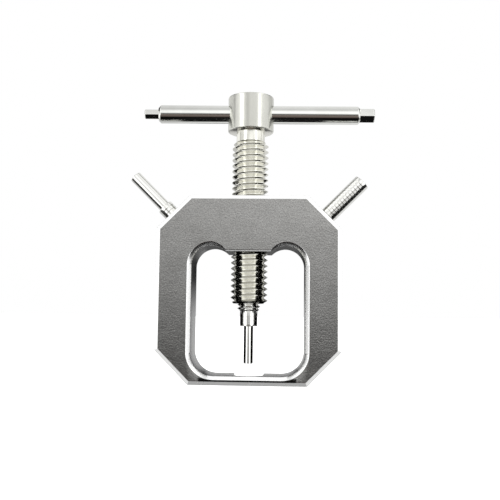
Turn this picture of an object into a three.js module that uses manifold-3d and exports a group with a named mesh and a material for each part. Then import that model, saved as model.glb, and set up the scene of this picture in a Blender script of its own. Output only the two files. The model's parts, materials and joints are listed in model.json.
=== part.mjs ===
// Pinion gear puller: a hand screw press in a slotted window frame.
// Millimetres, +Z up. The origin is on the screw axis, at the middle of the frame's thickness,
// on the face the frame stands on. The window faces along Y and the tommy bar lies along X.

import * as THREE from 'three';
import Module from 'manifold-3d';
import { mergeVertices } from 'three/addons/utils/BufferGeometryUtils.js';

// Driving dimensions

const FRAME = {
  width: 39.2, height: 40, thickness: 11, cornerLeg: 7.1,
  bevel: 0.8, bossBevel: 0.3,
};
const WINDOW = {
  halfWidth: 12, sill: 1.9, cornerRadius: 5,
  reliefRadius: 4.2, reliefTop: 29.25, bossUnderside: 28,
};
const SLOT_RADIUS = 3.2;

const M8 = { crest: 3.95, root: 3.18, pitch: 1.25, crestFlat: 0.16, rootFlat: 0.2, phase: 0.775 };
const M5 = { crest: 2.42, root: 1.93, pitch: 0.8, crestFlat: 0.1, rootFlat: 0.14, phase: 0 };
const THREAD_CLEARANCE = 0.16;
const M5_BORE = 2.5;
const M5_SHANK = 2.2;

const SCREW = {
  end: 17.1, threadTop: 52.4, endChamfer: 0.6, topChamfer: 0.75,
  neckRadius: 3.1, headBottom: 54.7, headTop: 62.4, headRadius: 5, edge: 0.25,
  socketDepth: 6, socketCone: 1.2,
};
const BAR = {
  radius: 2, axisHeight: 58.7, bore: 2.12, length: 44.4, offset: 1.82, edge: 0.5,
  smallHex: 2.05, smallTip: 3.1, largeHex: 2.95, largeTip: 3.1, tipEdge: 0.2,
  // How far the screw is turned from square to the frame, in degrees.
  turn: 1.6,
  // How far the bar is rolled forward, in degrees; at 0 its tips have an edge to the front.
  roll: 16,
};
const PIN_THREAD = 6;
const PRESS_PIN = {
  exposedThread: 1.6, collarRadius: 1.86, collar: 3.2, tipRadius: 0.99, tip: 8, edge: 0.12,
};
const SPARE = { offset: 0.7, holeDepth: 7, holeCone: 1.2, edge: 0.2 };
const MEDIUM_PIN = { collarRadius: 1.75, collar: 3, radius: 1.3, length: 12.5 };
const LARGE_PIN = { radius: 1.8, length: 11 };

const ROUND = 32;
// How far a trimming solid stands off the crests, so that its facets don't cut them.
const FACET_ROOM = 0.1;
const ARC_STEPS = 10;
const THREAD_STEPS = 18;

// Solids

const wasm = await Module();
wasm.setup();

function toSolid(geometry) {
  const bare = geometry.clone();
  bare.deleteAttribute('normal');
  bare.deleteAttribute('uv');
  const merged = mergeVertices(bare, 1e-5);
  return new wasm.Manifold(new wasm.Mesh({
    numProp: 3,
    vertProperties: new Float32Array(merged.attributes.position.array),
    triVerts: new Uint32Array(merged.index.array),
  }));
}

function toGeometry(solid) {
  const mesh = solid.getMesh();
  const geometry = new THREE.BufferGeometry();
  geometry.setAttribute('position', new THREE.BufferAttribute(mesh.vertProperties, 3));
  geometry.setIndex(new THREE.BufferAttribute(mesh.triVerts, 1));
  geometry.computeVertexNormals();
  return geometry;
}

// A turned solid about Z from [radius, height] pairs that run upwards.
function turned(profile, steps = ROUND) {
  const points = profile.map(([radius, height]) => new THREE.Vector2(radius, height));
  return new THREE.LatheGeometry(points, steps).rotateX(Math.PI / 2);
}

// Two or more rings of equal length joined into a closed skin and capped at both ends.
function stacked(rings) {
  const count = rings[0].length;
  const positions = rings.flat().flatMap((p) => [p.x, p.y, p.z]);
  const index = [];
  for (let ring = 0; ring < rings.length - 1; ring += 1) {
    for (let i = 0; i < count; i += 1) {
      const a = ring * count + i;
      const b = ring * count + ((i + 1) % count);
      index.push(a, b + count, b, a, a + count, b + count);
    }
  }
  const flat = (ring) => ring.map((p) => new THREE.Vector2(p.x, p.z));
  const last = (rings.length - 1) * count;
  for (const [a, b, c] of THREE.ShapeUtils.triangulateShape(flat(rings[0]), [])) {
    index.push(a, b, c);
  }
  for (const [a, b, c] of THREE.ShapeUtils.triangulateShape(flat(rings.at(-1)), [])) {
    index.push(last + a, last + c, last + b);
  }
  const geometry = new THREE.BufferGeometry();
  geometry.setAttribute('position', new THREE.Float32BufferAttribute(positions, 3));
  geometry.setIndex(index);
  return geometry;
}

// The outward mitre of a counter-clockwise outline at each of its points.
function mitres(outline) {
  const count = outline.length;
  return outline.map((point, i) => {
    const before = point.clone().sub(outline[(i + count - 1) % count]).normalize();
    const after = outline[(i + 1) % count].clone().sub(point).normalize();
    const normal = new THREE.Vector2(before.y + after.y, -before.x - after.x).normalize();
    return normal.divideScalar(Math.max(0.5, normal.x * after.y - normal.y * after.x));
  });
}

// A plate outlined in XZ whose faces at y = -half and +half are offset by 45 degree bevels.
// grow is +1 where the faces are wider than the middle and -1 where they are narrower, and
// the plate runs past both faces by overrun.
function bevelledPlate(outline, bevelAt, grow, overrun) {
  const half = FRAME.thickness / 2;
  const normals = mitres(outline);
  const ring = (depthAt, offsetAt) => outline.map((point, i) => {
    const shift = offsetAt(point) * grow;
    const x = point.x + normals[i].x * shift;
    const z = point.y + normals[i].y * shift;
    return new THREE.Vector3(x, depthAt(point), z);
  });
  return toSolid(stacked([
    ring(() => -half - overrun, (p) => bevelAt(p) + overrun),
    ring((p) => -half + bevelAt(p), () => 0),
    ring((p) => half - bevelAt(p), () => 0),
    ring(() => half + overrun, (p) => bevelAt(p) + overrun),
  ]));
}

// A right-hand threaded rod about Z, from below z = bottom to above z = top.
function threadedRod(thread, bottom, top) {
  const flank = (thread.pitch - thread.crestFlat - thread.rootFlat) / 2;
  const profile = [
    [thread.root, 0],
    [thread.root, thread.rootFlat],
    [thread.crest, thread.rootFlat + flank],
    [thread.crest, thread.rootFlat + flank + thread.crestFlat],
  ];
  const steps = THREAD_STEPS;
  const perTurn = profile.length;
  const first = (Math.floor(bottom / thread.pitch) - 2) * thread.pitch + thread.phase;
  const rows = perTurn * Math.ceil((top - bottom) / thread.pitch + 4);
  const positions = [];
  const ids = new Map();
  const vertex = (column, row) => {
    const wrapped = column === steps ? [0, row + perTurn] : [column, row];
    const key = wrapped.join(' ');
    if (!ids.has(key)) {
      const [radius, height] = profile[wrapped[1] % perTurn];
      const turn = wrapped[0] / steps;
      const z = first + thread.pitch * (turn + Math.floor(wrapped[1] / perTurn)) + height;
      const angle = 2 * Math.PI * turn;
      ids.set(key, positions.length / 3);
      positions.push(radius * Math.cos(angle), radius * Math.sin(angle), z);
    }
    return ids.get(key);
  };
  const index = [];
  for (let row = 0; row < rows; row += 1) {
    for (let column = 0; column < steps; column += 1) {
      const a = vertex(column, row);
      const b = vertex(column + 1, row);
      const c = vertex(column + 1, row + 1);
      const d = vertex(column, row + 1);
      index.push(a, b, c, a, c, d);
    }
  }
  const low = positions.length / 3;
  positions.push(0, 0, first - thread.pitch);
  const high = low + 1;
  positions.push(0, 0, first + thread.pitch * (rows / perTurn + 2));
  for (let column = 0; column < steps; column += 1) {
    index.push(low, vertex(column + 1, 0), vertex(column, 0));
    index.push(high, vertex(column, rows), vertex(column + 1, rows));
  }
  for (let row = 0; row < perTurn; row += 1) {
    index.push(low, vertex(0, row), vertex(0, row + 1));
    index.push(high, vertex(0, rows + row + 1), vertex(0, rows + row));
  }
  const geometry = new THREE.BufferGeometry();
  geometry.setAttribute('position', new THREE.Float32BufferAttribute(positions, 3));
  geometry.setIndex(index);
  return toSolid(geometry);
}

function widened(thread, clearance) {
  return {
    ...thread,
    crest: thread.crest + clearance,
    root: thread.root + clearance,
    crestFlat: thread.crestFlat + clearance,
    rootFlat: thread.rootFlat - clearance,
    phase: thread.phase + clearance / 2,
  };
}

// Frame

function frameOutline() {
  const side = FRAME.width / 2;
  const inner = side - FRAME.cornerLeg;
  const upper = FRAME.height - FRAME.cornerLeg;
  return [
    [inner, 0], [side, FRAME.cornerLeg], [side, upper], [inner, FRAME.height],
    [-inner, FRAME.height], [-side, upper], [-side, FRAME.cornerLeg], [-inner, 0],
  ].map(([x, z]) => new THREE.Vector2(x, z));
}

const RELIEF_X = WINDOW.halfWidth - WINDOW.reliefRadius;
const RELIEF_Z = WINDOW.reliefTop - WINDOW.reliefRadius;
const BOSS_ANGLE = Math.asin((WINDOW.bossUnderside - RELIEF_Z) / WINDOW.reliefRadius);
const BOSS_HALF = RELIEF_X - WINDOW.reliefRadius * Math.cos(BOSS_ANGLE);

function arc(x, z, radius, from, to) {
  return Array.from({ length: ARC_STEPS + 1 }, (_, i) => {
    const angle = from + ((to - from) * i) / ARC_STEPS;
    return new THREE.Vector2(x + radius * Math.cos(angle), z + radius * Math.sin(angle));
  });
}

function windowOutline() {
  const cornerX = WINDOW.halfWidth - WINDOW.cornerRadius;
  const cornerZ = WINDOW.sill + WINDOW.cornerRadius;
  const quarter = Math.PI / 2;
  return [
    ...arc(cornerX, cornerZ, WINDOW.cornerRadius, -quarter, 0),
    ...arc(RELIEF_X, RELIEF_Z, WINDOW.reliefRadius, 0, Math.PI - BOSS_ANGLE),
    ...arc(-RELIEF_X, RELIEF_Z, WINDOW.reliefRadius, BOSS_ANGLE, Math.PI),
    ...arc(-cornerX, cornerZ, WINDOW.cornerRadius, Math.PI, 3 * quarter),
  ];
}

// The window's bevel narrows along each relief, so the boss's lower edge is only broken.
function windowBevel(point) {
  const inBoss = point.y > RELIEF_Z && Math.abs(point.x) < RELIEF_X;
  const share = (Math.abs(point.x) - BOSS_HALF) / (RELIEF_X - BOSS_HALF);
  const width = FRAME.bossBevel + (FRAME.bevel - FRAME.bossBevel) * Math.max(0, share);
  return inBoss ? width : FRAME.bevel;
}

function shaftSlot() {
  const past = FRAME.thickness;
  const shape = new THREE.Shape();
  shape.moveTo(SLOT_RADIUS, past);
  shape.lineTo(-SLOT_RADIUS, past);
  shape.lineTo(-SLOT_RADIUS, 0);
  shape.absarc(0, 0, SLOT_RADIUS, Math.PI, 2 * Math.PI, false);
  const depth = WINDOW.sill + 2;
  const geometry = new THREE.ExtrudeGeometry(shape, { depth, bevelEnabled: false, curveSegments: 16 });
  return toSolid(geometry.translate(0, 0, -1));
}

// The frame of a spare pin: its foot on the 45 degree face, and Z out along its axis.
function spareMatrix(side) {
  const middle = FRAME.cornerLeg / 2;
  const along = SPARE.offset * Math.SQRT1_2;
  const x = side * (FRAME.width / 2 - middle + along);
  const z = FRAME.height - middle - along;
  const tilt = new THREE.Matrix4().makeRotationY(side * Math.PI / 4);
  return tilt.setPosition(x, 0, z);
}

function spareHole(side) {
  const hole = turned([
    [0, -SPARE.holeDepth - SPARE.holeCone], [M5_BORE, -SPARE.holeDepth], [M5_BORE, 1], [0, 1],
  ]);
  return toSolid(hole.applyMatrix4(spareMatrix(side)));
}

function tappedHole() {
  const margin = 2;
  const low = WINDOW.bossUnderside;
  const high = FRAME.height;
  const thread = widened(M8, THREAD_CLEARANCE);
  const mouth = thread.crest + FACET_ROOM;
  const reach = toSolid(turned([
    [0, low - margin], [mouth, low - margin], [mouth, high + margin], [0, high + margin],
  ]));
  return threadedRod(thread, low - margin, high + margin).intersect(reach);
}

function frameSolid() {
  const outer = bevelledPlate(frameOutline(), () => FRAME.bevel, -1, 0);
  const opening = bevelledPlate(windowOutline(), windowBevel, 1, 0.3);
  return [opening, shaftSlot(), tappedHole(), spareHole(-1), spareHole(1)]
    .reduce((solid, cut) => solid.subtract(cut), outer);
}

// Jack screw and its sliding tommy bar

function crossBore() {
  const reach = SCREW.headRadius + 1;
  const flare = BAR.bore + 1;
  const start = Math.sqrt(SCREW.headRadius ** 2 - BAR.bore ** 2);
  const bore = turned([
    [0, -reach], [flare, -reach], [BAR.bore, -start], [BAR.bore, start], [flare, reach], [0, reach],
  ]);
  const turn = THREE.MathUtils.degToRad(BAR.turn);
  return toSolid(bore.rotateY(Math.PI / 2).translate(0, 0, BAR.axisHeight).rotateZ(turn));
}

function screwSolid() {
  const { end, threadTop, neckRadius, headBottom, headTop, headRadius, edge } = SCREW;
  const clear = M8.crest + FACET_ROOM;
  const lowSlope = SCREW.endChamfer + FACET_ROOM;
  const topSlope = SCREW.topChamfer + FACET_ROOM;
  const envelope = toSolid(turned([
    [0, end], [clear - lowSlope, end], [clear, end + lowSlope],
    [clear, threadTop - topSlope], [clear - topSlope, threadTop], [0, threadTop],
  ]));
  const head = toSolid(turned([
    [0, threadTop - M8.pitch], [neckRadius, threadTop - M8.pitch], [neckRadius, headBottom],
    [headRadius - edge, headBottom], [headRadius, headBottom + edge],
    [headRadius, headTop - edge], [headRadius - edge, headTop], [0, headTop],
  ], 48));
  const socketTop = end + SCREW.socketDepth;
  const socket = toSolid(turned([
    [0, end - 1], [M5_BORE, end - 1], [M5_BORE, socketTop], [0, socketTop + SCREW.socketCone],
  ]));
  return threadedRod(M8, end, threadTop).intersect(envelope).add(head)
    .subtract(socket).subtract(crossBore());
}

function hexPrism(acrossFlats, length) {
  const radius = acrossFlats / Math.sqrt(3);
  return turned([
    [0, 0], [radius, 0], [radius, length - BAR.tipEdge], [radius - BAR.tipEdge, length], [0, length],
  ], 6);
}

function barSolid() {
  const { radius, length, edge, smallHex, smallTip, largeHex, largeTip, axisHeight, offset } = BAR;
  const half = length / 2;
  const rod = turned([
    [0, -half], [radius - edge, -half], [radius, edge - half],
    [radius, half - edge], [radius - edge, half], [0, half],
  ]);
  const largeEnd = hexPrism(largeHex, largeTip + 1).translate(0, 0, half - 1);
  const smallEnd = hexPrism(smallHex, smallTip + 1).rotateX(Math.PI).translate(0, 0, 1 - half);
  const bar = [largeEnd, smallEnd].reduce((solid, tip) => solid.add(toSolid(tip)), toSolid(rod));
  const rolled = bar.rotate([0, 0, BAR.roll]).rotate([0, 90, 0]);
  return rolled.translate([offset, 0, axisHeight]).rotate([0, 0, BAR.turn]);
}

// Pins

function pressPinSolid() {
  const { exposedThread, collarRadius, collar, tipRadius, tip, edge } = PRESS_PIN;
  const { end } = SCREW;
  const shoulder = end - exposedThread;
  const collarEnd = shoulder - collar;
  const tipEnd = collarEnd - tip;
  const shankTop = shoulder + PIN_THREAD;
  const gap = 0.1;
  const body = toSolid(turned([
    [0, tipEnd], [tipRadius - edge, tipEnd], [tipRadius, tipEnd + edge], [tipRadius, collarEnd],
    [collarRadius - edge, collarEnd], [collarRadius, collarEnd + edge], [collarRadius, shoulder],
    [M5.root, shoulder], [M5.root, end], [M5_SHANK, end + gap], [M5_SHANK, shankTop], [0, shankTop],
  ]));
  const clear = M5.crest + FACET_ROOM;
  const envelope = toSolid(turned([
    [0, shoulder], [M5.root, shoulder], [clear, shoulder + clear - M5.root],
    [clear, end - gap], [0, end - gap],
  ]));
  return threadedRod(M5, shoulder, end).intersect(envelope).add(body);
}

function mediumPin() {
  const { collarRadius, collar, radius, length } = MEDIUM_PIN;
  const { edge } = SPARE;
  return turned([
    [0, -PIN_THREAD], [M5_SHANK, -PIN_THREAD], [M5_SHANK, -edge], [collarRadius, -edge],
    [collarRadius, collar - edge], [collarRadius - edge, collar], [radius, collar],
    [radius, length - edge], [radius - edge, length], [0, length],
  ]);
}

function largePin() {
  const { radius, length } = LARGE_PIN;
  const { edge } = SPARE;
  return turned([
    [0, -PIN_THREAD], [M5_SHANK, -PIN_THREAD], [M5_SHANK, -edge], [radius, -edge],
    [radius, length - edge], [radius - edge, length], [0, length],
  ]);
}

// Assembly

const satinAluminium = () => new THREE.MeshStandardMaterial({
  color: '#8f8f8d', roughness: 0.55, metalness: 0.9, flatShading: true,
});
const nickelPlate = (roughness = 0.12) => new THREE.MeshStandardMaterial({
  color: '#d9d7d0', roughness, metalness: 1, flatShading: true,
});

function piece(name, geometry, material) {
  const mesh = new THREE.Mesh(geometry, material);
  mesh.name = name;
  return mesh;
}

function sparePin(name, geometry, side) {
  const mesh = piece(name, geometry, nickelPlate(0.2));
  mesh.applyMatrix4(spareMatrix(side));
  return mesh;
}

const puller = new THREE.Group();
puller.add(
  piece('frame', toGeometry(frameSolid()), satinAluminium()),
  piece('jack_screw', toGeometry(screwSolid()), nickelPlate(0.18)),
  piece('t_bar', toGeometry(barSolid()), nickelPlate(0.1)),
  piece('press_pin', toGeometry(pressPinSolid()), nickelPlate(0.15)),
  sparePin('spare_pin_medium', mediumPin(), -1),
  sparePin('spare_pin_large', largePin(), 1),
);

export default puller;
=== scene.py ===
"""Looks of the pinion gear puller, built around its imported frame.

Every size is in millimetres and is turned into metres where a mesh is made. Z is up along the screw,
X lies along the tommy bar and Y runs through the frame's window, away from the camera.
"""

import json
import math

import bpy
from mathutils import Matrix, Vector
from mathutils.geometry import tessellate_polygon


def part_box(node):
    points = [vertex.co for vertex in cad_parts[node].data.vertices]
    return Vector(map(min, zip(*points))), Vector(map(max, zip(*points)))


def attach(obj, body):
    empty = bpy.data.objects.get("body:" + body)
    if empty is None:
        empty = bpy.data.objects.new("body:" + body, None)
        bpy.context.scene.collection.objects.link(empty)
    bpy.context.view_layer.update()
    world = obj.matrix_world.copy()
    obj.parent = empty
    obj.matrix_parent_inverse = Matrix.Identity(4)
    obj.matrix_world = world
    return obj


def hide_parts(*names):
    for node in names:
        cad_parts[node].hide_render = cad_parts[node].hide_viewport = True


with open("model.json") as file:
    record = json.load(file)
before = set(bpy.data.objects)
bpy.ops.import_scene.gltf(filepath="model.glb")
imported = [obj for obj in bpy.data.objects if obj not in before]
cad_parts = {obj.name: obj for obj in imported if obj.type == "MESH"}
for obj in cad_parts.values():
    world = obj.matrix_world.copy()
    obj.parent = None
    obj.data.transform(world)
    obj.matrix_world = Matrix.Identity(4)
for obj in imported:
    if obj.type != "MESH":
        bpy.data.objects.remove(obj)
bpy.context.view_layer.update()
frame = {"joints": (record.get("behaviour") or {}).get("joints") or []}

MM = 0.001


def box_mm(node):
    """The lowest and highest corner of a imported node, in millimetres."""
    low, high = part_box(node)
    return low / MM, high / MM


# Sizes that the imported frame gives

FRAME_HIGH = box_mm("frame")[1]
SCREW_LOW, SCREW_HIGH = box_mm("jack_screw")
BAR_LOW, BAR_HIGH = box_mm("t_bar")
PIN_END = box_mm("press_pin")[0].z

HALF_WIDTH = FRAME_HIGH.x
HALF_DEPTH = FRAME_HIGH.y
HEIGHT = FRAME_HIGH.z

# Frame

CORNER_LEG = 7.1
CORNER_ROUND = 0.12
BEVEL = 0.8
SILL_BEVEL = 0.68
BOSS_BEVEL = 0.3
EDGE_ROUND = 0.09

WINDOW_HALF = 12.0
SILL = 1.9
WINDOW_CORNER = 5.0
RELIEF_RADIUS = 4.2
RELIEF_TOP = 29.25
BOSS_UNDERSIDE = 28.0
SLOT_RADIUS = 3.2
SLOT_EDGE = 0.12

RELIEF_X = WINDOW_HALF - RELIEF_RADIUS
RELIEF_Z = RELIEF_TOP - RELIEF_RADIUS
BOSS_ANGLE = math.asin((BOSS_UNDERSIDE - RELIEF_Z) / RELIEF_RADIUS)
BOSS_HALF = RELIEF_X - RELIEF_RADIUS * math.cos(BOSS_ANGLE)

# Threads, screw, bar and pins

M8 = dict(crest=3.95, root=3.18, pitch=1.25, crest_flat=0.16, root_flat=0.2, phase=0.775, ease=0.03)
M5 = dict(crest=2.42, root=1.93, pitch=0.8, crest_flat=0.1, root_flat=0.14, phase=0.0, ease=0.02)
THREAD_CLEARANCE = 0.16
M5_BORE = 2.5
# How far a trimming solid stands off the crests, so that its facets don't cut them.
TRIM_ROOM = 0.04

SCREW_END = SCREW_LOW.z
THREAD_TOP = 52.4
LOW_CHAMFER, TOP_CHAMFER = 0.6, 0.75
NECK_RADIUS = 3.1
NECK_ROUND = 0.1
HEAD_BOTTOM = 54.7
HEAD_TOP = SCREW_HIGH.z
HEAD_RADIUS = SCREW_HIGH.x
HEAD_EDGE = 0.28
SOCKET_DEPTH = 6.0
SOCKET_CONE = 1.2
SOCKET_EDGE = 0.1

BAR_AXIS = (BAR_LOW.z + BAR_HIGH.z) / 2
BAR_RADIUS = (BAR_HIGH.z - BAR_LOW.z) / 2
BAR_BORE = 2.12
BORE_FLARE = 0.6
# The bar lies a little turned about the screw, along the axis of the joint that it slides on.
BAR_ALONG = Vector(next(joint["axis"] for joint in frame["joints"] if joint["name"] == "bar_slide"))
BAR_TURN = Matrix.Rotation(math.atan2(BAR_ALONG.y, BAR_ALONG.x), 4, "Z")
BAR_LENGTH, BAR_OFFSET = 44.4, 1.82
SMALL_HEX, LARGE_HEX, HEX_TIP = 2.05, 2.95, 3.1
HEX_ROLL = math.radians(16)
BAR_EDGE, BAR_ROUND = 0.5, 0.1
TIP_EDGE = 0.2
TIP_BEVEL = 0.07

PIN_THREAD = 6.0
EXPOSED_THREAD = 1.6
COLLAR_RADIUS = 1.75
PRESS_COLLAR, PRESS_COLLAR_RADIUS = 3.2, 1.86
PRESS_RADIUS = 0.99
PRESS_END_ROUND, PRESS_FOOT_ROUND, PRESS_COLLAR_ROUND, PRESS_ROUND = 0.12, 0.1, 0.14, 0.08
MEDIUM_COLLAR, MEDIUM_RADIUS, MEDIUM_LENGTH = 3.0, 1.3, 12.5
LARGE_RADIUS, LARGE_LENGTH = 1.8, 11.0
SPARE_OFFSET = 0.7
SPARE_HOLE, SPARE_CONE = 7.0, 1.2
SPARE_ROUND, SPARE_FOOT_ROUND = 0.15, 0.1
# A spare pin's shaft starts this far inside its hole, and its rings as far outside.
SPARE_START = 0.1
RING_PITCH, RING_DEPTH, PRESS_RING_DEPTH = 0.8, 0.075, 0.05

ROUND = 96
THREAD_STEPS = 72
SHARP_ANGLE = math.radians(32)
FRAME_SHARP_ANGLE = math.radians(28)
NORMAL_WEIGHT = 80


# Meshes


def make_object(name, points, faces, materials, indices=None):
    """A mesh object from points in millimetres; indices gives each face its material slot."""
    mesh = bpy.data.meshes.new(name)
    mesh.from_pydata([Vector(p) * MM for p in points], [], faces)
    for material in materials:
        mesh.materials.append(material)
    if indices:
        mesh.polygons.foreach_set("material_index", indices)
    mesh.update()
    piece = bpy.data.objects.new(name, mesh)
    bpy.context.scene.collection.objects.link(piece)
    return piece


def turned(profile):
    """Points and faces of a solid turned about Z; profile runs from the axis up to the axis."""
    inner = profile[1:-1]
    points = [(0, 0, profile[0][1])]
    for radius, height in inner:
        for i in range(ROUND):
            angle = 2 * math.pi * i / ROUND
            points.append((radius * math.cos(angle), radius * math.sin(angle), height))
    points.append((0, 0, profile[-1][1]))
    last = len(points) - 1
    faces = []
    for i in range(ROUND):
        j = (i + 1) % ROUND
        faces.append((0, 1 + j, 1 + i))
        for ring in range(len(inner) - 1):
            a = 1 + ring * ROUND
            faces.append((a + i, a + j, a + ROUND + j, a + ROUND + i))
        top = last - ROUND
        faces.append((top + i, top + j, last))
    return points, faces


def eased(profile, radius, steps=3):
    """The profile with each corner rounded by up to radius; a corner may give its own radius."""
    result = [profile[0][:2]]
    for before, corner, after in zip(profile, profile[1:], profile[2:]):
        here = Vector(corner[:2])
        reach = corner[2] if len(corner) > 2 else radius
        back = Vector(before[:2]) - here
        ahead = Vector(after[:2]) - here
        reach = min(reach, back.length * 0.45, ahead.length * 0.45)
        if reach <= 0:
            result.append(tuple(here))
            continue
        start = here + back.normalized() * reach
        end = here + ahead.normalized() * reach
        for i in range(steps + 1):
            t = i / steps
            point = start * (1 - t) ** 2 + here * 2 * t * (1 - t) + end * t**2
            result.append(tuple(point))
    result.append(profile[-1][:2])
    return result


def threaded(thread, low, high):
    """Points and faces of a right-hand threaded rod that runs past both ends, to be trimmed."""
    pitch = thread["pitch"]
    root, crest, ease = thread["root"], thread["crest"], thread["ease"]
    root_flat, crest_flat = thread["root_flat"], thread["crest_flat"]
    rise = (pitch + root_flat - crest_flat) / 2
    profile = [
        (root + ease, 0), (root, ease), (root, root_flat - ease), (root + ease, root_flat),
        (crest - ease, rise), (crest, rise + ease),
        (crest, rise + crest_flat - ease), (crest - ease, rise + crest_flat),
    ]
    per_turn = len(profile)
    first = (math.floor(low / pitch) - 2) * pitch + thread["phase"]
    rows = per_turn * math.ceil((high - low) / pitch + 4)
    points, ids, faces = [], {}, []

    def vertex(column, row):
        if column == THREAD_STEPS:
            column, row = 0, row + per_turn
        if (column, row) not in ids:
            radius, height = profile[row % per_turn]
            turn = column / THREAD_STEPS
            angle = 2 * math.pi * turn
            z = first + pitch * (turn + row // per_turn) + height
            ids[column, row] = len(points)
            points.append((radius * math.cos(angle), radius * math.sin(angle), z))
        return ids[column, row]

    for row in range(rows):
        for column in range(THREAD_STEPS):
            faces.append((
                vertex(column, row), vertex(column + 1, row),
                vertex(column + 1, row + 1), vertex(column, row + 1),
            ))
    bottom = [vertex(column, 0) for column in range(THREAD_STEPS + 1)]
    bottom += [vertex(0, row) for row in range(per_turn - 1, 0, -1)]
    top = [vertex(column, rows) for column in range(THREAD_STEPS + 1)]
    top += [vertex(0, rows + row) for row in range(per_turn - 1, 0, -1)]
    points.append((0, 0, first - pitch))
    points.append((0, 0, first + pitch * (rows / per_turn + 2)))
    for i in range(len(bottom)):
        j = (i + 1) % len(bottom)
        faces.append((len(points) - 2, bottom[j], bottom[i]))
        faces.append((len(points) - 1, top[i], top[j]))
    return points, faces


def widened(thread, clearance):
    """The thread that a tap would cut, with clearance all round the screw's."""
    wider = dict(thread)
    wider["crest"] += clearance
    wider["root"] += clearance
    wider["crest_flat"] += clearance
    wider["root_flat"] -= clearance
    wider["phase"] += clearance / 2
    return wider


def combine(piece, tool, operation):
    """Applies one boolean to a piece and removes the tool."""
    modifier = piece.modifiers.new(operation.lower(), "BOOLEAN")
    modifier.operation = operation
    modifier.object = tool
    modifier.solver = "MANIFOLD"
    apply_modifiers(piece)
    bpy.data.objects.remove(tool)
    return piece


def apply_modifiers(piece):
    """Turns the piece's modifiers into its mesh."""
    bpy.context.view_layer.update()
    evaluated = piece.evaluated_get(bpy.context.evaluated_depsgraph_get())
    mesh = bpy.data.meshes.new_from_object(evaluated)
    old = piece.data
    piece.modifiers.clear()
    piece.data = mesh
    bpy.data.meshes.remove(old)
    mesh.name = piece.name


def shade(piece, angle=SHARP_ANGLE):
    """Smooth shading with sharp edges where faces meet at more than angle."""
    mesh = piece.data
    mesh.polygons.foreach_set("use_smooth", [True] * len(mesh.polygons))
    mesh.set_sharp_from_angle(angle=angle)
    weighted = piece.modifiers.new("weighted_normal", "WEIGHTED_NORMAL")
    weighted.keep_sharp = True
    weighted.weight = NORMAL_WEIGHT


def place(piece, matrix):
    """Moves the mesh itself, so that the object stays at the origin."""
    scaled = matrix.copy()
    scaled.translation = matrix.translation * MM
    piece.data.transform(scaled)


# Frame mesh


def arc(x, z, radius, start, end, steps):
    """Points of an arc about a centre, from one angle to another."""
    return [
        Vector((
            x + radius * math.cos(start + (end - start) * i / steps),
            z + radius * math.sin(start + (end - start) * i / steps),
        ))
        for i in range(steps + 1)
    ]


def frame_outline():
    """Eight straight sides, counter-clockwise from the front."""
    inner = HALF_WIDTH - CORNER_LEG
    upper = HEIGHT - CORNER_LEG
    return [Vector(corner) for corner in (
        (inner, 0), (HALF_WIDTH, CORNER_LEG), (HALF_WIDTH, upper), (inner, HEIGHT),
        (-inner, HEIGHT), (-HALF_WIDTH, upper), (-HALF_WIDTH, CORNER_LEG), (-inner, 0),
    )]


def rounded(ring):
    """The ring with each corner cut back a little and given a middle point."""
    result = []
    for i, corner in enumerate(ring):
        here = Vector(corner)
        back = (Vector(ring[i - 1]) - here).normalized() * CORNER_ROUND
        ahead = (Vector(ring[(i + 1) % len(ring)]) - here).normalized() * CORNER_ROUND
        result += [here + back, here + (back + ahead) / 4, here + ahead]
    return result


def window_outline():
    """Round corners at the sill and two round reliefs beside the boss, counter-clockwise."""
    corner_x = WINDOW_HALF - WINDOW_CORNER
    corner_z = SILL + WINDOW_CORNER
    quarter = math.pi / 2
    return (
        arc(corner_x, corner_z, WINDOW_CORNER, -quarter, 0, 24)
        + arc(RELIEF_X, RELIEF_Z, RELIEF_RADIUS, 0, math.pi - BOSS_ANGLE, 36)
        + arc(-RELIEF_X, RELIEF_Z, RELIEF_RADIUS, BOSS_ANGLE, math.pi, 36)
        + arc(-corner_x, corner_z, WINDOW_CORNER, math.pi, 3 * quarter, 24)
    )


def window_bevel(point):
    """The bevel is narrower at the sill and along each relief, so the boss is only broken."""
    if point.y < SILL + WINDOW_CORNER:
        return SILL_BEVEL + (BEVEL - SILL_BEVEL) * (point.y - SILL) / WINDOW_CORNER
    if point.y < RELIEF_Z or abs(point.x) > RELIEF_X:
        return BEVEL
    share = (abs(point.x) - BOSS_HALF) / (RELIEF_X - BOSS_HALF)
    return BOSS_BEVEL + (BEVEL - BOSS_BEVEL) * max(0.0, share)


def mitres(outline):
    """Outward normals at the corners, longer where the sides meet sharply."""
    result = []
    for i, point in enumerate(outline):
        before = (point - outline[i - 1]).normalized()
        after = (outline[(i + 1) % len(outline)] - point).normalized()
        normal = Vector((before.y + after.y, -before.x - after.x)).normalized()
        result.append(normal / max(0.5, normal.x * after.y - normal.y * after.x))
    return result


def bevel_section(width):
    """Offset and depth from the face to the wall, with both edges of the bevel slightly rounded."""
    ease = EDGE_ROUND * min(1.0, width / BEVEL)
    lean = ease * math.sqrt(0.5)
    return [
        (width + ease, 0.0), (width + ease * 0.15, ease * 0.18), (width - lean, lean),
        (lean, width - lean), (ease * 0.18, width + ease * 0.15), (0.0, width + ease),
    ]


def section_rings(outline, width_at, inward):
    """Rings of points from the front face to the back face; inward is +1 where faces are smaller."""
    normals = mitres(outline)
    sections = [bevel_section(width_at(point)) for point in outline]
    count = len(sections[0])
    rings = []
    for level in range(2 * count):
        near = level if level < count else 2 * count - 1 - level
        side = -1 if level < count else 1
        ring = []
        for point, normal, section in zip(outline, normals, sections):
            offset, depth = section[near]
            shifted = point - normal * offset * inward
            ring.append((shifted.x, side * (HALF_DEPTH - depth), shifted.y))
        rings.append(ring)
    return rings


# Material slots of the frame
FACE, CUT, WALL, OUTSIDE = 0, 1, 2, 3


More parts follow.
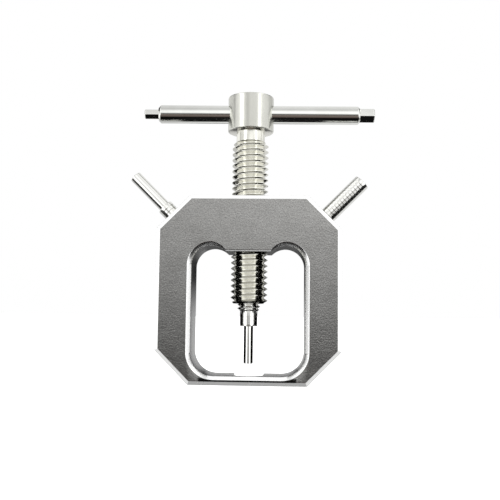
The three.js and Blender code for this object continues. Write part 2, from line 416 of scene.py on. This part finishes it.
def frame_mesh():
    """Points, faces and material slots of the plate with its window."""
    outer = [rounded(ring) for ring in section_rings(frame_outline(), lambda point: BEVEL, 1)]
    inner = section_rings(window_outline(), window_bevel, -1)
    points, faces, slots = [], [], []

    def skin(rings, flip, wall_slot):
        base = len(points)
        count = len(rings[0])
        for ring in rings:
            points.extend(ring)
        for level in range(len(rings) - 1):
            wall = level == len(rings) // 2 - 1
            for i in range(count):
                a = base + level * count + i
                b = base + level * count + (i + 1) % count
                face = (a, a + count, b + count, b)
                faces.append(face[::-1] if flip else face)
                slots.append(wall_slot if wall else CUT)
        return base, base + (len(rings) - 1) * count

    outer_front, outer_back = skin(outer, False, OUTSIDE)
    inner_front, inner_back = skin(inner, True, WALL)
    for level, outer_base, inner_base in ((0, outer_front, inner_front), (-1, outer_back, inner_back)):
        loops = [[Vector((p[0], p[2], 0)) for p in ring[level]] for ring in (outer, inner)]
        ids = [outer_base + i for i in range(len(loops[0]))]
        ids += [inner_base + i for i in range(len(loops[1]))]
        for triangle in tessellate_polygon(loops):
            a, b, c = (Vector(points[ids[i]]) for i in triangle)
            faces_front = (b - a).cross(c - a).y < 0
            face = tuple(ids[i] for i in triangle)
            faces.append(face if faces_front == (level == 0) else face[::-1])
            slots.append(FACE)
    return points, faces, slots


def slot_tool(materials):
    """The shaft slot: a half round end under the screw, open at the back, with eased rims."""
    past = HALF_DEPTH + 2
    steps = 32

    def ring(grow, height):
        radius = SLOT_RADIUS + grow
        curve = arc(0, 0, radius, math.pi, 2 * math.pi, steps)
        corners = [Vector((radius, past)), Vector((-radius, past))]
        return [(p.x, p.y, height) for p in curve + corners]

    rings = [
        ring(SLOT_EDGE + 1, -1), ring(0, SLOT_EDGE), ring(0, SILL - SLOT_EDGE),
        ring(SLOT_EDGE + 1, SILL + 1),
    ]
    count = len(rings[0])
    points = [p for r in rings for p in r]
    faces = []
    for level in range(len(rings) - 1):
        for i in range(count):
            a = level * count + i
            b = level * count + (i + 1) % count
            faces.append((a, b, b + count, a + count))
    faces.append(tuple(range(count))[::-1])
    faces.append(tuple(range(3 * count, 4 * count)))
    return make_object("slot_tool", points, faces, materials, [WALL] * len(faces))


def spare_matrix(side):
    """The place of a spare pin: its foot on the 45 degree face, and Z out along its axis."""
    along = SPARE_OFFSET * math.sqrt(0.5)
    x = side * (HALF_WIDTH - CORNER_LEG / 2 + along)
    z = HEIGHT - CORNER_LEG / 2 - along
    return Matrix.Translation((x, 0, z)) @ Matrix.Rotation(side * math.pi / 4, 4, "Y")


def spare_hole_tool(side, materials):
    """The hole of a spare pin, with a small countersink and a drill's cone."""
    points, faces = turned([
        (0, -SPARE_HOLE - SPARE_CONE), (M5_BORE, -SPARE_HOLE), (M5_BORE, -SLOT_EDGE),
        (M5_BORE + 1 + SLOT_EDGE, 1), (0, 1),
    ])
    tool = make_object("spare_hole_tool", points, faces, materials, [WALL] * len(faces))
    place(tool, spare_matrix(side))
    return tool


def tapped_tool(materials):
    """The screw's tapped hole, a threaded rod cut off square past both mouths."""
    margin = 2
    low, high = BOSS_UNDERSIDE - margin, HEIGHT + margin
    thread = widened(M8, THREAD_CLEARANCE)
    points, faces = threaded(thread, low, high)
    tool = make_object("tapped_tool", points, faces, materials, [CUT] * len(faces))
    clear = thread["crest"] + TRIM_ROOM
    points, faces = turned([(0, low), (clear, low), (clear, high), (0, high)])
    reach = make_object("reach", points, faces, materials, [CUT] * len(faces))
    return combine(tool, reach, "INTERSECT")


def build_frame(materials):
    """The window plate with its slot, its tapped hole and the holes of the spare pins."""
    points, faces, slots = frame_mesh()
    piece = make_object("frame_body", points, faces, materials, slots)
    combine(piece, slot_tool(materials), "DIFFERENCE")
    combine(piece, tapped_tool(materials), "DIFFERENCE")
    for side in (-1, 1):
        combine(piece, spare_hole_tool(side, materials), "DIFFERENCE")
    shade(piece, FRAME_SHARP_ANGLE)
    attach(piece, "frame")
    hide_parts("frame")


# Jack screw


def build_screw(materials):
    """Threaded rod, neck and turned head with its cross bore and the push pin's socket.

    The head has the second material, but for its underside.
    """
    points, faces = threaded(M8, SCREW_END, THREAD_TOP)
    piece = make_object("jack_screw_body", points, faces, materials)
    clear = M8["crest"] + TRIM_ROOM
    low, top = LOW_CHAMFER + TRIM_ROOM, TOP_CHAMFER + TRIM_ROOM
    points, faces = turned([
        (0, SCREW_END), (clear - low, SCREW_END), (clear, SCREW_END + low),
        (clear, THREAD_TOP - top), (clear - top, THREAD_TOP), (0, THREAD_TOP),
    ])
    combine(piece, make_object("envelope", points, faces, materials), "INTERSECT")
    points, faces = turned(eased([
        (0, THREAD_TOP - 2), (NECK_RADIUS, THREAD_TOP - 2, 0), (NECK_RADIUS, HEAD_BOTTOM),
        (HEAD_RADIUS, HEAD_BOTTOM, HEAD_EDGE), (HEAD_RADIUS, HEAD_TOP, HEAD_EDGE), (0, HEAD_TOP),
    ], NECK_ROUND, 4))
    turned_head = [int(max(points[i][2] for i in face) > HEAD_BOTTOM + 0.05) for face in faces]
    head = make_object("head", points, faces, materials, turned_head)
    combine(piece, head, "UNION")
    socket_top = SCREW_END + SOCKET_DEPTH
    points, faces = turned([
        (0, SCREW_END - 1), (M5_BORE + 1 + SOCKET_EDGE, SCREW_END - 1), (M5_BORE, SCREW_END + SOCKET_EDGE),
        (M5_BORE, socket_top), (0, socket_top + SOCKET_CONE),
    ])
    combine(piece, make_object("socket", points, faces, materials), "DIFFERENCE")
    combine(piece, cross_bore(materials), "DIFFERENCE")
    shade(piece)
    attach(piece, "jack_screw")
    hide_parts("jack_screw")


def cross_bore(materials):
    """The tommy bar's bore through the head, with both of its mouths eased."""
    reach = HEAD_RADIUS + 1
    start = math.sqrt(HEAD_RADIUS**2 - BAR_BORE**2)
    flare = BAR_BORE + (reach - start) * BORE_FLARE
    points, faces = turned([
        (0, -reach), (flare, -reach), (BAR_BORE, -start), (BAR_BORE, start), (flare, reach), (0, reach),
    ])
    tool = make_object("cross_bore", points, faces, materials, [1] * len(faces))
    place(tool, along_bar(0))
    return tool


# Tommy bar


def along_bar(offset):
    """The place of a solid turned about Z that belongs along the bar's axis."""
    lie = Matrix.Rotation(math.pi / 2, 4, "Y")
    return BAR_TURN @ Matrix.Translation((offset, 0, BAR_AXIS)) @ lie


def hexagonal(across_flats, start, end, chamfer):
    """A hexagonal tip along Z, chamfered round its free end and rolled forward by HEX_ROLL."""
    radius = across_flats / math.sqrt(3)
    inward = math.copysign(chamfer, end - start)
    rings = [(start, radius), (end - inward, radius), (end, radius - chamfer)]
    points = []
    for z, reach in rings:
        for i in range(6):
            angle = math.pi / 2 + math.pi / 3 * i + HEX_ROLL
            points.append((reach * math.cos(angle), reach * math.sin(angle), z))
    faces = [tuple(range(6))[::-1], tuple(range(12, 18))]
    for level in (0, 6):
        for i in range(6):
            j = (i + 1) % 6
            faces.append((level + i, level + j, level + 6 + j, level + 6 + i))
    if end < start:
        faces = [face[::-1] for face in faces]
    return points, faces


def build_bar(material):
    """A round rod with a small and a large hexagonal tip."""
    half = BAR_LENGTH / 2
    points, faces = turned(eased([
        (0, -half), (BAR_RADIUS - BAR_EDGE, -half), (BAR_RADIUS, BAR_EDGE - half),
        (BAR_RADIUS, half - BAR_EDGE), (BAR_RADIUS - BAR_EDGE, half), (0, half),
    ], BAR_ROUND))
    piece = make_object("tommy_bar", points, faces, [material])
    for across, end in ((SMALL_HEX, -half), (LARGE_HEX, half)):
        out = math.copysign(1, end)
        points, faces = hexagonal(across, end - out, end + out * HEX_TIP, TIP_EDGE)
        tip = make_object("tip", points, faces, [material])
        bevel = tip.modifiers.new("bevel", "BEVEL")
        bevel.width = TIP_BEVEL * MM
        bevel.segments = 2
        apply_modifiers(tip)
        combine(piece, tip, "UNION")
    place(piece, along_bar(BAR_OFFSET))
    shade(piece)
    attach(piece, "t_bar")
    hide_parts("t_bar")


# Pins


def ringed(radius, start, end, depth=RING_DEPTH):
    """Profile points of a cylinder with fine turned grooves, from start to end."""
    points = [(radius, start, 0)]
    height = start + RING_PITCH / 2
    while height < end - RING_PITCH / 2:
        points += [
            (radius, height - depth, 0), (radius - depth, height, 0), (radius, height + depth, 0),
        ]
        height += RING_PITCH
    return points + [(radius, end)]


def thread_piece(name, low, high, material):
    """A length of M5 thread with chamfered ends."""
    points, faces = threaded(M5, low, high)
    piece = make_object(name, points, faces, [material])
    clear = M5["crest"] + TRIM_ROOM
    slope = M5["crest"] - M5["root"] + TRIM_ROOM
    points, faces = turned([
        (0, low), (clear - slope, low), (clear, low + slope),
        (clear, high - slope), (clear - slope, high), (0, high),
    ])
    return combine(piece, make_object("envelope", points, faces, [material]), "INTERSECT")


def finish_pin(piece, body):
    """Shades a pin and ties it to its body."""
    shade(piece)
    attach(piece, body)
    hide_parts(body)


def build_press_pin(material):
    """The push pin in the screw's end: thread, collar and thin tip."""
    shoulder = SCREW_END - EXPOSED_THREAD
    collar_end = shoulder - PRESS_COLLAR
    piece = thread_piece("push_pin", shoulder, shoulder + PIN_THREAD, material)
    overlap, core = 0.5, M5["root"] - 0.1
    rings = ringed(PRESS_COLLAR_RADIUS, collar_end, shoulder, PRESS_RING_DEPTH)
    points, faces = turned(eased([
        (0, PIN_END), (PRESS_RADIUS, PIN_END, PRESS_END_ROUND),
        (PRESS_RADIUS, collar_end, PRESS_FOOT_ROUND),
        (PRESS_COLLAR_RADIUS, collar_end, PRESS_COLLAR_ROUND), *rings[1:], (core, shoulder + 0.05),
        (core, shoulder + overlap, 0), (0, shoulder + overlap),
    ], PRESS_ROUND))
    combine(piece, make_object("shank", points, faces, [material]), "UNION")
    finish_pin(piece, "press_pin")


def build_spare_pin(name, body, side, shaft, material):
    """A spare pin; shaft is the profile of what stands out of the frame."""
    piece = thread_piece(name, -PIN_THREAD, 0, material)
    overlap, core = 0.6, M5["root"] - 0.2
    points, faces = turned(eased([
        (0, -overlap), (core, -overlap, 0), (core, -SPARE_START, 0), *shaft,
    ], SPARE_ROUND))
    combine(piece, make_object("shaft", points, faces, [material]), "UNION")
    place(piece, spare_matrix(side))
    finish_pin(piece, body)


def build_spare_pins(materials):
    """The medium pin with its collar on the left, and the large one on the right."""
    medium = [
        (COLLAR_RADIUS, -SPARE_START, 0), *ringed(COLLAR_RADIUS, SPARE_START, MEDIUM_COLLAR)[1:],
        (MEDIUM_RADIUS, MEDIUM_COLLAR, SPARE_FOOT_ROUND), (MEDIUM_RADIUS, MEDIUM_LENGTH),
        (0, MEDIUM_LENGTH),
    ]
    build_spare_pin("spare_pin_left", "spare_pin_medium", -1, medium, materials[0])
    large = [
        (LARGE_RADIUS, -SPARE_START, 0), *ringed(LARGE_RADIUS, SPARE_START, LARGE_LENGTH)[1:],
        (0, LARGE_LENGTH),
    ]
    build_spare_pin("spare_pin_right", "spare_pin_large", 1, large, materials[1])


# Materials


class Nodes:
    """Small helper that adds nodes to a tree and links them by socket name."""

    def __init__(self, tree):
        self.tree = tree
        tree.nodes.clear()

    def add(self, kind, inputs=None, **settings):
        node = self.tree.nodes.new(kind)
        for key, value in settings.items():
            setattr(node, key, value)
        for key, value in (inputs or {}).items():
            self.feed(node.inputs[key], value)
        return node

    def feed(self, socket, value):
        """Links a socket to another node's, or sets its value."""
        if isinstance(value, bpy.types.NodeSocket):
            self.tree.links.new(value, socket)
        else:
            socket.default_value = value

    def ramp(self, factor, stops):
        """Colours or grey levels between stops of (position, level), from 0 to 1."""
        node = self.add("ShaderNodeValToRGB", {"Fac": factor})
        elements = node.color_ramp.elements
        while len(elements) < len(stops):
            elements.new(0.5)
        for element, (position, value) in zip(elements, stops):
            element.position = position
            colour = value if isinstance(value, tuple) else (value, value, value)
            element.color = (*colour, 1)
        return node.outputs["Color"]

    def math(self, operation, a, b=0.0, c=0.0):
        node = self.add("ShaderNodeMath", {0: a, 1: b, 2: c}, operation=operation)
        return node.outputs[0]

    def product(self, first, *others):
        """All the values multiplied together."""
        for other in others:
            first = self.math("MULTIPLY", first, other)
        return first

    def across(self, value, *stops):
        """A ramp over one component of a direction, with stops of (component, level)."""
        centred = self.math("MULTIPLY_ADD", value, 0.5, 0.5)
        return self.ramp(centred, [(0.5 + 0.5 * component, level) for component, level in stops])

    def vector(self, operation, a, b):
        return self.add("ShaderNodeVectorMath", {0: a, 1: b}, operation=operation).outputs[0]

    def mix(self, share, a, b, blend="MIX"):
        """A mix of two colours; a plain number stands for a grey."""
        node = self.add("ShaderNodeMix", data_type="RGBA", blend_type=blend)
        for name, value in (("Factor", share), ("A", a), ("B", b)):
            # The node has one set of sockets for each kind of value; the colours' are the last.
            socket = [socket for socket in node.inputs if socket.name == name and socket.enabled][-1]
            if name != "Factor" and not isinstance(value, bpy.types.NodeSocket):
                value = (value, value, value, 1)
            self.feed(socket, value)
        return [socket for socket in node.outputs if socket.enabled][0]

    def noise(self, vector, scale, detail, roughness):
        node = self.add("ShaderNodeTexNoise", {
            "Vector": vector, "Scale": scale, "Detail": detail, "Roughness": roughness,
        })
        return node.outputs["Fac"]


def new_material(name):
    """A new material, with the helper for its node tree."""
    material = bpy.data.materials.new(name)
    material.use_nodes = True
    return material, Nodes(material.node_tree)


def metal_material(name, colours, roughness, bumps, blotch=400.0, grain=None, turning=None):
    """Metal whose colour and roughness drift slowly, with one or more layers of fine relief.

    colours and roughness are the two ends of the drift, and blotch is its scale. Each bump is
    (scale, stretch, height in millimetres, detail). grain is the scale and the depth of fine dark
    specks. turning is a point and a direction on the axis that the tool marks run round, with the
    strength of their gleam.
    """
    material, nodes = new_material(name)
    place_socket = nodes.add("ShaderNodeTexCoord").outputs["Object"]
    drift = nodes.noise(place_socket, blotch, 4.0, 0.6)
    colour = nodes.ramp(drift, [(0.3, colours[0]), (0.7, colours[1])])
    if grain:
        specks = nodes.noise(place_socket, grain[0], 3.0, 0.65)
        shade_of_grain = nodes.ramp(specks, [(0.36, 1 - grain[1]), (0.64, 1.0)])
        colour = nodes.mix(1.0, colour, shade_of_grain, "MULTIPLY")
    rough = nodes.math("MULTIPLY_ADD", drift, roughness[1] - roughness[0], roughness[0])
    normal = None
    for scale, stretch, height, detail in bumps:
        at = nodes.add("ShaderNodeMapping", {"Vector": place_socket, "Scale": stretch})
        relief = nodes.noise(at.outputs[0], scale, detail, 0.6)
        inputs = {"Height": relief, "Distance": height * MM, "Strength": 1.0}
        if normal:
            inputs["Normal"] = normal
        normal = nodes.add("ShaderNodeBump", inputs).outputs["Normal"]
    surface = {"Base Color": colour, "Roughness": rough, "Metallic": 1.0, "Normal": normal}
    if turning:
        foot, along, gleam = turning
        arm = nodes.vector("SUBTRACT", place_socket, Vector(foot) * MM)
        around = nodes.vector("CROSS_PRODUCT", arm, along)
        turned_to = nodes.add("ShaderNodeVectorTransform", {"Vector": around}, vector_type="VECTOR",
                              convert_from="OBJECT", convert_to="WORLD")
        surface.update({
            "Anisotropic": gleam, "Anisotropic Rotation": 0.25, "Tangent": turned_to.outputs[0],
        })
    shader = nodes.add("ShaderNodeBsdfPrincipled", surface)
    output = nodes.add("ShaderNodeOutputMaterial")
    nodes.tree.links.new(shader.outputs[0], output.inputs["Surface"])
    return material


def make_materials():
    """The materials of each piece, in the order of its slots."""
    blasted = metal_material(
        "blasted_face", ((0.36, 0.357, 0.346), (0.43, 0.427, 0.415)), (0.16, 0.22),
        [(3600.0, (1, 1, 1), 0.024, 2.0), (1400.0, (1, 1, 1), 0.012, 2.0)], 220.0, (3800.0, 0.36),
    )
    cut = metal_material(
        "machined_bevel", ((0.9, 0.905, 0.9), (0.95, 0.95, 0.945)), (0.24, 0.3),
        [(3000.0, (1, 1, 1), 0.001, 2.0)],
    )
    # Painted shade: the window's inner walls, slot and pin holes get a far darker colour than the rest of
    # the milled frame. This stands in for the shade inside the window that the threads and pins reflect.
    wall = metal_material(
        "milled_wall_painted_shade", ((0.11, 0.112, 0.11), (0.15, 0.152, 0.15)), (0.22, 0.3),
        [(1500.0, (1, 8, 1), 0.003, 2.0)],
    )
    outside = metal_material(
        "cut_side", ((0.3, 0.3, 0.29), (0.38, 0.38, 0.37)), (0.26, 0.34),
        [(3000.0, (1, 1, 1), 0.006, 2.0)],
    )
    upright = ((0, 0, 0), (0, 0, 1))
    nickel = ((0.8, 0.8, 0.765), (0.86, 0.86, 0.835))
    thread = metal_material(
        "nickel_thread", ((0.72, 0.712, 0.65), (0.8, 0.795, 0.735)), (0.12, 0.18),
        [(2600.0, (1, 1, 3), 0.0015, 3.0)],
    )
    head = metal_material(
        "nickel_head", ((0.65, 0.652, 0.6), (0.72, 0.722, 0.67)), (0.26, 0.32),
        [(2000.0, (1, 1, 6), 0.0008, 3.0)], turning=(*upright, 0.9),
    )
    bar = metal_material(
        "nickel_bar", ((0.75, 0.755, 0.725), (0.81, 0.815, 0.785)), (0.11, 0.15),
        [(1600.0, (6, 1, 1), 0.0008, 3.0)], turning=((0, 0, BAR_AXIS), BAR_ALONG, 0.9),
    )
    push = metal_material(
        "bright_push_pin", nickel, (0.11, 0.16),
        [(2400.0, (1, 1, 1), 0.001, 3.0)], turning=(*upright, 0.8),
    )
    spares = [
        metal_material(
            name, nickel, (0.11, 0.16), [(2400.0, (1, 1, 1), 0.001, 3.0)],
            turning=(spare_matrix(side).translation, (side, 0, 1), 0.8),
        )
        for name, side in (("bright_left_pin", -1), ("bright_right_pin", 1))
    ]
    return dict(
        frame=[blasted, cut, wall, outside], screw=[thread, head], bar=bar, push=push, spares=spares,
    )


# Studio


CAMERA_PLACE = Vector((7.14, -154.6, 14.8))
CAMERA_YAW, CAMERA_PITCH, CAMERA_ROLL = -2.602, 5.142, 0.697
CAMERA_LENS = 51.465
SENSOR = 36.0

FLOOR_REACH = 4000
FLOOR_GLOW, FLOOR_GREY = 0.8, 0.9

# A card gives off light from one side, which follows from the order of its corners.
AHEAD = UP = [(0, 1, 2, 3)]
BACK = DOWN = [(3, 2, 1, 0)]


def add_camera():
    """The camera in front of the tool, a little to its right and below its middle."""
    data = bpy.data.cameras.new("camera")
    data.lens = CAMERA_LENS
    data.sensor_width = SENSOR
    data.clip_start = 0.001
    camera = bpy.data.objects.new("camera", data)
    bpy.context.scene.collection.objects.link(camera)
    yaw, pitch, roll = (math.radians(a) for a in (CAMERA_YAW, CAMERA_PITCH, CAMERA_ROLL))
    turn = Matrix.Rotation(-yaw, 4, "Z") @ Matrix.Rotation(math.pi / 2 + pitch, 4, "X")
    turn = turn @ Matrix.Rotation(roll, 4, "Z")
    camera.matrix_world = Matrix.Translation(CAMERA_PLACE * MM) @ turn
    bpy.context.scene.camera = camera


def stage_object(name, points, faces, colour_at, strength=1.0, base=0.0, clearness=0.0):
    """A stage object that gives off light from its front and is clear from behind."""
    material, nodes = new_material(name)
    behind = nodes.add("ShaderNodeNewGeometry").outputs["Backfacing"]
    shader = nodes.add("ShaderNodeBsdfPrincipled", {
        "Base Color": (base, base, base, 1), "Roughness": 0.9, "Specular IOR Level": 0.0,
        "Emission Color": colour_at(nodes), "Emission Strength": strength,
    })
    clear = nodes.add("ShaderNodeBsdfTransparent")
    share = nodes.math("MAXIMUM", behind, clearness)
    either = nodes.add("ShaderNodeMixShader", {0: share, 1: shader.outputs[0], 2: clear.outputs[0]})
    output = nodes.add("ShaderNodeOutputMaterial")
    nodes.tree.links.new(either.outputs[0], output.inputs["Surface"])
    piece = make_object(name, points, faces, [material])
    return piece


def reflection_card(name, points, faces, colour_at, clearness=0.0):
    """A card that only reflections see."""
    card = stage_object(name, points, faces, colour_at, clearness=clearness)
    card.visible_camera = False
    card.visible_diffuse = False
    card.visible_shadow = False


def even(level):
    """A colour_at that is the same grey all over."""
    return lambda nodes: (level, level, level, 1)


def upright_card(left, right, low, high, depth, right_depth=None):
    """Corners of an upright card; right_depth turns it by putting its right side elsewhere."""
    other = depth if right_depth is None else right_depth
    return [(left, depth, low), (right, other, low), (right, other, high), (left, depth, high)]


def add_floor():
    """A pale floor under the tool, which reflections don't see."""
    reach = FLOOR_REACH
    points = [(-reach, -reach, 0), (reach, -reach, 0), (reach, reach, 0), (-reach, reach, 0)]
    floor = stage_object("floor", points, UP, even(1.0), FLOOR_GLOW, FLOOR_GREY)
    floor.visible_glossy = False


def add_wall_card():
    """A far card behind the window, seen only in reflections, that lights its side walls, brightest low
    down; its dark upper part is painted shadow, standing in for a shadowed surface behind the upper
    window.
    """
    top = 36

    def light_fading_to_painted_shadow(nodes):
        place_socket = nodes.add("ShaderNodeTexCoord").outputs["Object"]
        height = nodes.add("ShaderNodeSeparateXYZ", {"Vector": place_socket}).outputs["Z"]
        share = nodes.math("MULTIPLY", height, 1 / (top * MM))
        # Light low down, then painted shadow from 20 mm up.
        return nodes.ramp(share, [(8 / top, 1.0), (15 / top, 0.85), (20 / top, 0.4), (25 / top, 0.03)])

    reflection_card("wall_card", upright_card(-20, 15, 0, top, 60), AHEAD, light_fading_to_painted_shadow)


def add_upright_cards():
    """Cards round the push pin and the threads, and one before the strip under the sill.

    The dark ones are painted shadow seen only in reflections, standing in for shadowed surfaces round the
    pin and the lower thread: they give the turned parts their black edges and darken the strip under the
    sill. The light ones even out the threads.
    """
    near, far = -5.4, 7.5
    foot, boss = 3.5, BOSS_UNDERSIDE + 0.5
    shoulder = SCREW_END - EXPOSED_THREAD
    collar = shoulder - PRESS_COLLAR
    # Levels of 0.0 and 0.2 are painted shadow; the 0.95 cards are light.
    for name, corners, faces, level, clearness in (
        ("pin_back_card", upright_card(-9.5, 9.5, foot, shoulder, far), AHEAD, 0.0, 0.0),
        ("pin_left_card", upright_card(-5, -9.5, foot, collar, -3.5, far), AHEAD, 0.0, 0.0),
        ("pin_right_card", upright_card(5, 9.5, foot, collar, -3.5, far), BACK, 0.0, 0.0),
        ("collar_left_card", upright_card(-8.6, -9.5, collar, shoulder, 0, far), AHEAD, 0.0, 0.0),
        ("collar_right_card", upright_card(8.6, 9.5, collar, shoulder, 0, far), BACK, 0.0, 0.0),
        ("thread_back_card", upright_card(-9.5, 9.5, shoulder, boss, far), AHEAD, 0.2, 0.0),
        ("thread_left_card", upright_card(-5.2, -8, shoulder, boss, near, 2.5), AHEAD, 0.0, 0.0),
        ("thread_right_card", upright_card(5.2, 8, shoulder, boss, near, 2.5), BACK, 0.0, 0.0),
        ("thread_front_card", upright_card(-5.2, 5.2, shoulder, boss, near), BACK, 0.95, 0.4),
        ("upper_thread_card", upright_card(-3.6, 3.6, HEIGHT + 0.6, THREAD_TOP, near), BACK, 0.95, 0.6),
        ("strip_card", upright_card(-10.2, 10.2, -0.4, 1.7, -6.4), BACK, 0.0, 0.0),
    ):
        reflection_card(name, corners, faces, even(level), clearness)


def add_ledge_cards():
    """Cards that lie along the frame's outer bevels and over its sill, seen by those bevels."""
    near, gap, rise = -7, 0.5, 1.6
    inner, outer = HALF_WIDTH - CORNER_LEG, HALF_WIDTH + gap
    above, beside, corner = HEIGHT + rise, HALF_WIDTH + rise, HEIGHT - CORNER_LEG
    for name, (x0, z0), (x1, z1), far, faces, level in (
        ("under_card", (-inner, -gap), (inner, -gap), 6, UP, 0.42),
        ("left_low_card", (-outer, CORNER_LEG), (-inner, -gap), 6, UP, 0.8),
        ("right_low_card", (inner, -gap), (outer, CORNER_LEG), 6, UP, 0.8),
        ("sill_card", (-8, 3.2), (8, 3.2), -4, DOWN, 1.15),
        ("top_card", (-inner, above), (inner, above), -4.2, DOWN, 1.15),
        ("left_slope_card", (-beside, corner), (-inner, above), -4.2, DOWN, 1.15),
        ("right_slope_card", (inner, above), (beside, corner), -4.2, DOWN, 1.15),
    ):
        points = [(x0, near, z0), (x1, near, z1), (x1, far, z1), (x0, far, z0)]
        reflection_card(name, points, faces, even(level))


def add_bar_cards():
    """Dark cards over the frame that give the underside of the tommy bar its black line."""
    near, far, height = -13, 6, HEIGHT + 2
    for name, left, right in (("bar_left_card", -17.5, -4.6), ("bar_right_card", 4.6, 17.5)):
        points = [(left, near, height), (right, near, height), (right, far, height), (left, far, height)]
        reflection_card(name, points, UP, even(0.01))


def front_band(nodes, x, y, z):
    """Light by the angle round the X axis: white above the camera's line, brown and black below."""
    # The angle becomes a share of a turn: 0.5 faces the camera, more is above it.
    angle = nodes.math("ARCTAN2", z, nodes.math("MULTIPLY", y, -1.0))
    turn = nodes.math("MULTIPLY_ADD", angle, 1 / (2 * math.pi), 0.5)
    dark_brown, brown = (0.12, 0.095, 0.085), (0.25, 0.21, 0.19)
    band = nodes.ramp(turn, [
        (0.5 + degrees / 360, level) for degrees, level in (
            (-180, 0.8), (-115, 0.87), (-106, 0.01), (-47, 0.003), (-41, dark_brown), (-14, brown),
            (-11, 0.03), (-8, 0.03), (-5.5, 0.09), (-3, 0.3), (1, 0.6), (7, 1.1), (11, 1.35),
            (30, 1.3), (42, 1.05), (54, 0.74), (70, 0.78), (88, 0.88), (135, 0.95), (180, 0.8),
        )
    ])
    dimmer_left = nodes.across(x, (-0.2, 0.78), (-0.15, 0.86), (-0.05, 1.0))
    return nodes.mix(1.0, band, dimmer_left, "MULTIPLY")


def with_sides(nodes, light, x, y, z):
    """Adds the light to the left and right of the tool, which the turned parts' edges see."""
    aside = nodes.math("ABSOLUTE", x)
    lower = nodes.math("MULTIPLY_ADD", x, -0.07, z)
    sides = nodes.across(lower, (-0.35, 0.01), (-0.29, 0.95), (-0.15, 1.3), (0.12, 1.3), (0.25, 0.85),
                         (0.45, 1.0), (0.65, 1.15))
    nearer = nodes.math("MULTIPLY_ADD", x, 0.1, y)
    front = nodes.product(nodes.across(aside, (0.28, 0.0), (0.45, 1.0)),
                          nodes.across(nearer, (0.08, 1.0), (0.18, 0.0)))
    level = nodes.math("ABSOLUTE", z)
    far = nodes.product(nodes.across(aside, (0.8, 0.0), (0.92, 1.0)),
                        nodes.across(level, (0.45, 1.0), (0.6, 0.0)))
    return nodes.mix(nodes.math("MAXIMUM", front, far), light, sides)


def with_panels(nodes, light, x, y, z):
    """Adds two softboxes beside the camera, and light and dark patches aside and behind."""
    softboxes = nodes.product(
        nodes.across(x, (-0.81, 0.0), (-0.75, 1.0), (-0.59, 1.0), (-0.51, 0.0),
                     (0.56, 0.0), (0.62, 1.0), (0.74, 1.0), (0.8, 0.0)),
        nodes.across(z, (-0.38, 0.0), (-0.3, 1.0), (0.7, 1.0), (0.8, 0.0)),
        nodes.across(y, (0.0, 1.0), (0.1, 0.0)),
    )
    left_back = nodes.product(
        nodes.across(x, (-0.98, 1.0), (-0.6, 1.0), (-0.45, 0.0)),
        nodes.across(y, (0.02, 0.0), (0.1, 1.0)),
        nodes.across(z, (0.05, 0.0), (0.15, 1.0), (0.4, 1.0), (0.5, 0.0)),
    )
    notch = nodes.product(
        nodes.across(x, (-0.86, 1.0), (-0.8, 0.0)),
        nodes.across(y, (-0.1, 0.0), (-0.05, 1.0), (0.02, 1.0), (0.07, 0.0)),
        nodes.across(z, (0.08, 0.0), (0.14, 1.0), (0.6, 0.0)),
    )
    upper_back = nodes.product(
        nodes.across(nodes.math("ABSOLUTE", x), (0.45, 0.0), (0.55, 1.0)),
        nodes.across(z, (0.3, 0.0), (0.4, 1.0)),
        nodes.across(nodes.math("MULTIPLY_ADD", x, -0.15, y), (0.06, 0.0), (0.16, 1.0)),
    )
    for share, level in ((softboxes, 2.2), (left_back, 1.15), (notch, 0.35), (upper_back, 0.1)):
        light = nodes.mix(share, light, level)
    return light


def add_world():
    """White for the camera; for light and reflections, soft panels around a dark camera side."""
    world = bpy.data.worlds.new("studio")
    bpy.context.scene.world = world
    world.use_nodes = True
    nodes = Nodes(world.node_tree)
    direction = nodes.add("ShaderNodeTexCoord").outputs["Generated"]
    x, y, z = nodes.add("ShaderNodeSeparateXYZ", {"Vector": direction}).outputs
    light = front_band(nodes, x, y, z)
    light = with_sides(nodes, light, x, y, z)
    light = with_panels(nodes, light, x, y, z)
    lit = nodes.add("ShaderNodeBackground", {"Color": light, "Strength": 1.0})
    plain = nodes.add("ShaderNodeBackground", {"Color": (1, 1, 1, 1), "Strength": 1.0})
    seen = nodes.add("ShaderNodeLightPath").outputs["Is Camera Ray"]
    either = nodes.add("ShaderNodeMixShader", {0: seen, 1: lit.outputs[0], 2: plain.outputs[0]})
    output = nodes.add("ShaderNodeOutputWorld")
    nodes.tree.links.new(either.outputs[0], output.inputs["Surface"])


bpy.context.scene.view_settings.view_transform = "Standard"
add_camera()
add_floor()
add_wall_card()
add_upright_cards()
add_ledge_cards()
add_bar_cards()
add_world()

materials = make_materials()
build_frame(materials["frame"])
build_screw(materials["screw"])
build_bar(materials["bar"])
build_press_pin(materials["push"])
build_spare_pins(materials["spares"])
